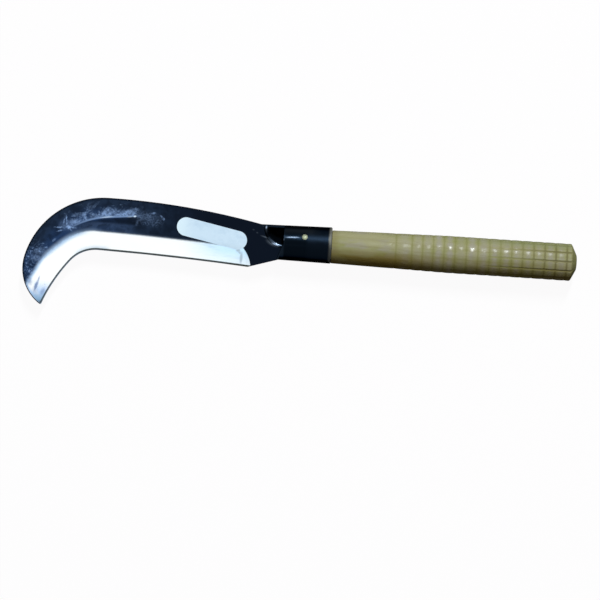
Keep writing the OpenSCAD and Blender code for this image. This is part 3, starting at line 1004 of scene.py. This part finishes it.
@dataclass
class Blade(Piece):
    """The blade: the frame's plate with its square corners eased.

    Args:
        eased: How wide the easing is.
        flat_angle: The angle in degrees under which two faces are merged.
        corner_angle: The angle in degrees past which an edge may be a square corner.
        near_face: How near a square corner lies to the level of the upper or the lower face.
    """

    name: str = "blade_plate"
    slot: Optional[str] = "blade_steel"
    stands_for: tuple[str, ...] = ("blade",)
    shading: Shading = Shading.SIDES
    crease: float = 40.0
    eased: float = 0.28
    flat_angle: float = 0.5
    corner_angle: float = 60.0
    near_face: float = 0.02

    def shape(self, bm: bmesh.types.BMesh) -> None:
        """Takes the plate's own surface, merges it and eases its square corners."""
        bm.from_mesh(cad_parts["blade"].data)
        bmesh.ops.remove_doubles(bm, verts=bm.verts[:], dist=SAME_POINT * MM)
        limit = math.radians(self.flat_angle)
        bmesh.ops.dissolve_limit(bm, angle_limit=limit, verts=bm.verts[:], edges=bm.edges[:])
        corners = [edge for edge in bm.edges if self.is_corner(edge)]
        how = {"offset_type": "OFFSET", "affect": "EDGES", "clamp_overlap": True, "material": -1}
        bmesh.ops.bevel(bm, geom=corners, offset=self.eased * MM, segments=3, profile=0.5, **how)

    def is_corner(self, edge: bmesh.types.BMEdge) -> bool:
        """Whether an edge is one of the square corners along the back and the neck, and not the keen edge."""
        if len(edge.link_faces) != 2 or edge.calc_face_angle(0.0) <= math.radians(self.corner_angle):
            return False
        middle = (edge.verts[0].co + edge.verts[1].co) / (2 * MM)
        return abs(abs(middle.z - LINES.middle_z) - LINES.half_plate) < self.near_face


@dataclass
class Grip(Piece):
    """The turned grip: ring grooves, lengthwise grooves near the butt, and the tenon in the socket.

    Args:
        ring_end: The distance from the butt to the last ring.
        ring_drift: How far the rings in the middle stand off their even pitch.
        drifting: The rings, counted from the butt, between which the others do so.
        first_pad: The distance between the two rings nearest to the socket.
        crown: How far a pad's edge falls away beside a ring.
        flute_rings: How many ring pitches the lengthwise grooves run over.
        flute_past: How far past a ring's middle they begin.
        flute_lead, flute_growth: The lengths over which they fade in and then grow deeper.
        flute_first: The share of their depth before they grow.
        face_r, face_share: The radius of the butt's end face, and the share of their depth on it.
        columns: How many columns of points run along the grip.
        on_flute: How many degrees off a lengthwise groove a column still counts as its bottom.
        gathering: The columns beside a lengthwise groove, by angle, and how far each turns closer to it.
        plain: The places of the profile's points before the first ring.
        cap: The size of the face that closes each end, as a share of its rim.
    """

    name: str = "grip_wood"
    slot: Optional[str] = "grip_wood"
    stands_for: tuple[str, ...] = ("handle",)
    ring_count: int = 16
    ring_pitch: float = 9.6
    ring_end: float = 9.5
    ring_drift: float = 1.1
    drifting: tuple[int, int] = (7, 14)
    first_pad: float = 14.0
    ring_half: float = 0.75
    ring_depth: float = 0.40
    crown: float = 0.20
    flute_count: int = 12
    flute_rings: float = 7.0
    flute_past: float = 0.45
    flute_depth: float = 0.62
    flute_lead: float = 5.0
    flute_growth: float = 50.0
    flute_first: float = 0.25
    face_r: float = 8.0
    face_share: float = 0.2
    columns: int = 72
    on_flute: float = 1.5
    gathering: tuple[tuple[int, float], ...] = ((5, 2.3), (-5, -2.3), (10, 2.8), (-10, -2.8))
    plain: tuple[float, ...] = (8.0, 20.0, 32.0, 44.0)
    chamfer: float = 5.0
    butt_r: float = 6.5
    tenon: float = 27.6
    tenon_r: float = 13.0
    cap: float = 0.35

    def rings(self) -> list[float]:
        """Where the ring grooves lie; cut by hand, they drift a little in the middle."""
        places = []
        low, high = self.drifting
        for number in range(self.ring_count):
            swing = math.sin(math.pi * (number - low) / (high - low)) if low < number < high else 0.0
            longer = self.first_pad - self.ring_pitch if number == self.ring_count - 1 else 0.0
            even = GRIP.length - self.ring_end - number * self.ring_pitch
            places.append(even - self.ring_drift * swing - longer)
        return sorted(places)

    def stations(self) -> list[tuple[float, float]]:
        """The turner's profile: distances from the mouth and radii, from the shoulder to the butt."""
        end, thick = -self.tenon, self.tenon_r
        points = [(end, thick - 0.8), (end + 0.4, thick - 0.2), (end + 1.6, thick), (-1.0, thick)]
        points += [(0.0, thick), (0.06, thick + 0.1)]
        points += [(0.08, GRIP.throat_r - 0.25), (0.25, GRIP.throat_r - 0.05)]
        points += [(at, GRIP.radius(at)) for at in (1.2, *self.plain)]
        rings = self.rings()
        for number, at in enumerate(rings):
            if number:
                middle = (rings[number - 1] + at) / 2
                points.append((middle, GRIP.radius(middle)))
            points.append((at - self.ring_half, GRIP.radius(at) - self.crown * (0.7 if number else 0.3)))
            points.append((at, GRIP.radius(at) - self.ring_depth))
            points.append((at + self.ring_half, GRIP.radius(at) - self.crown * 0.7))
        last = GRIP.length - self.chamfer
        points += [(last - 0.35, GRIP.grip_r - 0.02), (last + 0.35, GRIP.grip_r - 0.45)]
        return points + [(GRIP.length - 0.45, self.butt_r + 0.55), (GRIP.length, self.butt_r - 0.1)]

    def shape(self, bm: bmesh.types.BMesh) -> None:
        """Spins the profile about the grip's axis, sinks the lengthwise grooves and closes the ends."""
        axis = Vector((0.0, GRIP.axis_y, GRIP.axis_z)) * MM
        outline = []
        for at, radius in self.stations():
            outline.append(Vector((GRIP.throat_x + at, GRIP.axis_y, GRIP.axis_z + radius)) * MM)
        spin(bm, outline, axis, Vector((1.0, 0.0, 0.0)), self.columns)
        self.gather_columns(bm, axis)
        self.sink_flutes(bm, axis)
        rims = [edge for edge in bm.edges if edge.is_boundary]
        for wanted in (min, max):
            side = wanted(edge.verts[0].co.x for edge in rims)
            loop = [edge for edge in rims if abs(edge.verts[0].co.x - side) < SAME_POINT * MM]
            made = bmesh.ops.extrude_edge_only(bm, edges=loop)["geom"]
            space = Matrix.Translation(-axis - Vector((side, 0.0, 0.0)))
            verts = only(bmesh.types.BMVert, made)
            bmesh.ops.scale(bm, vec=(1.0, self.cap, self.cap), space=space, verts=verts)
            inner = [edge for edge in only(bmesh.types.BMEdge, made) if edge.is_boundary]
            bmesh.ops.edgeloop_fill(bm, edges=inner)
        bmesh.ops.recalc_face_normals(bm, faces=bm.faces[:])

    def side(self, vert: bmesh.types.BMVert) -> float:
        """The angle in degrees from the nearest lengthwise groove to a point of the mesh."""
        pitch = 360.0 / self.flute_count
        turn = math.degrees(math.atan2(vert.co.y / MM - GRIP.axis_y, vert.co.z / MM - GRIP.axis_z)) % pitch
        return turn if turn < pitch / 2 else turn - pitch

    def gather_columns(self, bm: bmesh.types.BMesh, axis: Vector) -> None:
        """Turns the columns of points beside each lengthwise groove closer to it, so the groove is narrow."""
        columns = {angle: [] for angle, _ in self.gathering}
        for vert in bm.verts:
            columns.get(round(self.side(vert)), []).append(vert)
        for angle, shift in self.gathering:
            turn = Matrix.Rotation(math.radians(shift), 3, "X")
            bmesh.ops.rotate(bm, cent=axis, matrix=turn, verts=columns[angle])

    def sink_flutes(self, bm: bmesh.types.BMesh, axis: Vector) -> None:
        """Presses in every column of points where a lengthwise groove runs, deeper towards the butt."""
        start = GRIP.butt_x - self.ring_end - self.flute_rings * self.ring_pitch + self.flute_past
        for vert in bm.verts:
            if abs(self.side(vert)) > self.on_flute:
                continue
            out = vert.co - Vector((vert.co.x, axis.y, axis.z))
            past = vert.co.x / MM - start
            begun = min(1.0, max(0.0, (past + self.flute_lead) / self.flute_lead))
            growth = (1.0 - self.flute_first) * min(1.0, max(0.0, past / self.flute_growth))
            share = self.face_share if out.length / MM < self.face_r else 1.0
            depth = self.flute_depth * begun * (self.flute_first + growth) * share
            vert.co -= out.normalized() * depth * MM

    def refine(self, made: bpy.types.Object) -> None:
        """Rounds the grooves' shoulders."""
        rounder = made.modifiers.new("soft_grooves", "SUBSURF")
        rounder.levels = rounder.render_levels = 2


@dataclass
class Nail(Piece):
    """The small domed nail that pins the grip in the socket.

    Args:
        along, angle: Its place along the socket's axis and round it.
        seat: The socket's outer radius there.
        sunk: How far the head's rim lies below that radius.
        head_shift: How far the head stands off its shank, to the cutting edge's side.
        dome: The angles in degrees of the dome's rings, from its rim to near its top.
    """

    name: str = "nail_head"
    slot: Optional[str] = "nail_brass"
    stands_for: tuple[str, ...] = ("nail",)
    along: float = 18.1
    angle: float = 24.4
    seat: float = 15.48
    sunk: float = 0.25
    head_r: float = 2.6
    head_h: float = 1.1
    head_shift: float = 0.7
    shank_r: float = 1.3
    shank: float = 14.0
    point: float = 2.5
    dome: tuple[int, ...] = (72, 66, 56, 44, 32, 20, 9)
    sides: int = 36

    def outline(self) -> list[tuple[float, float]]:
        """Radii and levels, from the middle of the shank's end to the top of the dome."""
        low = self.seat - self.sunk
        foot = low - self.shank
        rim = math.radians(self.dome[0])
        points = [(0.0, foot), (self.shank_r * 0.4, foot), (self.shank_r, foot + self.point)]
        points += [(self.shank_r, low), (self.head_r, low)]
        for angle in (math.radians(degrees) for degrees in self.dome):
            rise = (math.cos(angle) - math.cos(rim)) / (1 - math.cos(rim))
            points.append((self.head_r * math.sin(angle) / math.sin(rim), low + self.head_h * rise))
        return points + [(0.0, low + self.head_h)]

    def is_head(self, vert: bmesh.types.BMVert) -> bool:
        """Whether a point belongs to the head, and not to the shank below it."""
        level = vert.co.z / MM - (self.seat - self.sunk)
        outside = vert.co.xy.length / MM > (self.shank_r + self.head_r) / 2
        return level > SAME_POINT or (level > -SAME_POINT and outside)

    def shape(self, bm: bmesh.types.BMesh) -> None:
        """Spins the head and the shank about the nail's own line, and sets them into the socket."""
        points = [Vector((r, 0.0, level)) * MM for r, level in self.outline()]
        spin(bm, points, Vector(), Vector((0.0, 0.0, 1.0)), self.sides)
        head = [vert for vert in bm.verts if self.is_head(vert)]
        bmesh.ops.translate(bm, vec=(0.0, -self.head_shift * MM, 0.0), verts=head)
        turn = Matrix.Rotation(math.radians(-self.angle), 4, "X")
        place = SOCKET.matrix() @ Matrix.Translation((self.along * MM, 0, 0)) @ turn
        bmesh.ops.transform(bm, matrix=place, verts=bm.verts[:])
        bmesh.ops.recalc_face_normals(bm, faces=bm.faces[:])


@dataclass
class Label(Piece):
    """A blank paper label with round ends, which follows the blade's face and the start of its bevel.

    Args:
        x, y: Its middle.
        turn: The angle in degrees from the X axis to its length.
        thick: The paper's thickness.
        gap: How far it lies off the blade.
        grid: How far apart its points lie.
    """

    name: str = "blank_label"
    slot: Optional[str] = None
    crease: float = 50.0
    x: float = -77.56
    y: float = 22.95
    length: float = 62.5
    width: float = 16.2
    turn: float = -11.1
    thick: float = 0.12
    gap: float = 0.02
    grid: float = 1.6

    def shape(self, bm: bmesh.types.BMesh) -> None:
        """Cuts the label, lays it on the blade and gives it its thickness."""
        bmesh.ops.create_circle(bm, cap_ends=True, radius=self.width / 2 * MM, segments=64)
        shift = (self.length - self.width) / 2 * MM
        for side in (-1, 1):
            verts = [vert for vert in bm.verts if vert.co.x * side > SAME_POINT * MM]
            bmesh.ops.translate(bm, vec=(side * shift, 0, 0), verts=verts)
        for across, size in (((1.0, 0.0, 0.0), self.length), ((0.0, 1.0, 0.0), self.width)):
            for number in range(int(size / self.grid) + 1):
                at = (number * self.grid - size / 2) * MM
                every = bm.verts[:] + bm.edges[:] + bm.faces[:]
                bmesh.ops.bisect_plane(bm, geom=every, plane_co=Vector(across) * at, plane_no=across)
        turn = Matrix.Rotation(math.radians(self.turn), 4, "Z")
        place = Matrix.Translation(Vector((self.x, self.y, 0)) * MM) @ turn
        bmesh.ops.transform(bm, matrix=place, verts=bm.verts[:])
        for vert in bm.verts:
            vert.co.z = (LINES.top(vert.co.x / MM, vert.co.y / MM) + self.gap) * MM
        bmesh.ops.recalc_face_normals(bm, faces=bm.faces[:])
        raised = only(bmesh.types.BMVert, bmesh.ops.extrude_face_region(bm, geom=bm.faces[:])["geom"])
        bmesh.ops.translate(bm, vec=(0, 0, self.thick * MM), verts=raised)
        bmesh.ops.recalc_face_normals(bm, faces=bm.faces[:])


@dataclass
class FramePiece:
    """A piece of the frame that keeps its own shape and only gets a finish.

    Args:
        node: The node's name.
    """

    node: str

    def dress(self, finish: bpy.types.Material) -> bpy.types.Object:
        """Puts the finish on the node.

        Args:
            finish: The material that it wears.

        Returns:
            The node's object.
        """
        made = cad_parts[self.node]
        made.data.materials.clear()
        made.data.materials.append(finish)
        log.info("%s: %d faces, dressed", self.node, len(made.data.polygons))
        return made


# The picture. Metres and watts.


@dataclass(frozen=True)
class Lamp:
    """One soft box.

    Args:
        name: The lamp's name.
        place: Where it hangs.
        aim: The point that it faces.
        size: Its width and height.
        power: Its power.
        colour: Its colour.
    """

    name: str
    place: Place
    aim: Place
    size: tuple[float, float]
    power: float
    colour: Colour

    def hang(self) -> None:
        """Hangs the lamp and turns it to its point."""
        data = bpy.data.lights.new(self.name, "AREA")
        data.shape = "RECTANGLE"
        data.size, data.size_y = self.size
        data.energy = self.power
        data.color = self.colour
        made = put(self.name, data)
        made.location = self.place
        made.rotation_euler = (Vector(self.aim) - Vector(self.place)).to_track_quat("-Z", "Y").to_euler()


@dataclass(frozen=True)
class Studio:
    """A pale floor, soft lights and the camera, straight above the tool.

    Args:
        centre: The point below the camera.
        level: The level at which the picture is seen wide.
        seen: The picture's width there.
        height, turn: How high the camera hangs, and its turn in degrees.
        floor_lift: How much light of its own the floor shows to the plain rays.
        room, mirrored: The room's light on the tool, and what the tool's gloss mirrors.
        plain_rays: The kinds of ray that see the floor and the room as pale.
        lamps: A window-like key at the picture's top, and a dim panel that the bevel mirrors.
    """

    centre: tuple[float, float] = (0.0026, -0.0298)
    level: float = 0.017
    seen: float = 0.522
    height: float = 2.5
    turn: float = 3.75
    floor_size: float = 6.0
    floor_colour: Colour = (0.042, 0.042, 0.042)
    floor_glow: Colour = (0.985, 0.98, 0.985)
    floor_lift: float = 0.965
    room: Colour = (0.14 * 1.0, 0.14 * 0.88, 0.14 * 0.70)
    mirrored: Colour = (0.92 * 0.95, 0.92 * 0.975, 0.92 * 1.0)
    plain_rays: tuple[str, ...] = ("Is Camera Ray", "Is Glossy Ray", "Is Transmission Ray")
    lamps: tuple[Lamp, ...] = (
        Lamp("key", (0.42, 2.46, 3.15), (0.0, 0.0, 0.0), (0.20, 1.10), 180.0, (0.93, 0.98, 1.0)),
        Lamp("panel", (-0.15, -0.66, 3.0), (-0.15, 0.0, 0.0), (1.4, 0.6), 1.0, (0.95, 0.98, 1.0)),
    )

    def floor(self) -> None:
        """Makes the floor, which glows a little for the plain rays alone, so that it shows near white."""
        mesh = bpy.data.meshes.new("floor")
        bm = bmesh.new()
        bmesh.ops.create_grid(bm, x_segments=2, y_segments=2, size=self.floor_size)
        bm.to_mesh(mesh)
        bm.free()
        desk = Desk(bpy.data.materials.new("floor_paper"))
        lift = desk.seen_by(*self.plain_rays) * self.floor_lift
        paper = desk.run("BsdfDiffuse", {"Color": self.floor_colour})
        glow = desk.run("Emission", {"Color": self.floor_glow, "Strength": lift})
        desk.show(desk.run("AddShader", {0: paper, 1: glow}))
        mesh.materials.append(desk.owner)
        put("floor", mesh)

    def world(self) -> None:
        """Lights the room evenly and shows it white to the camera."""
        world = bpy.data.worlds.new("room")
        bpy.context.scene.world = world
        desk = Desk(world)
        light = desk.seen_by(*self.plain_rays).tint(self.room, self.mirrored)
        light = desk.seen_by("Is Camera Ray").tint(light, (1.0, 1.0, 1.0))
        desk.show(desk.run("Background", {"Color": light}), "OutputWorld")

    def camera(self) -> None:
        """Hangs the camera over the tool."""
        data = bpy.data.cameras.new("camera")
        data.sensor_fit = "HORIZONTAL"
        data.sensor_width = 36.0
        data.lens = data.sensor_width * (self.height - self.level) / self.seen
        data.clip_end = 20.0
        made = put("camera", data)
        made.location = (*self.centre, self.height)
        made.rotation_euler = (0.0, 0.0, math.radians(self.turn))
        bpy.context.scene.camera = made

    def build(self) -> None:
        """Sets up the whole picture."""
        bpy.context.scene.view_settings.view_transform = "Standard"
        self.camera()
        self.world()
        self.floor()
        for lamp in self.lamps:
            lamp.hang()


def main() -> None:
    """Builds the picture and the tool, and writes how large each is."""
    logging.basicConfig(level=logging.INFO, format="%(name)s: %(message)s")
    Studio().build()
    Blade().build(BladeFinish().make())
    FramePiece("socket").dress(EnamelFinish("socket_finish").make())
    FramePiece("weld").dress(EnamelFinish("weld_finish", dent_depth=0.3).make())
    Grip().build(GripFinish().make())
    Nail().build(BrassFinish().make())
    Label().build(LabelFinish().make())
    bpy.context.view_layer.update()


if __name__ == "__main__":
    main()
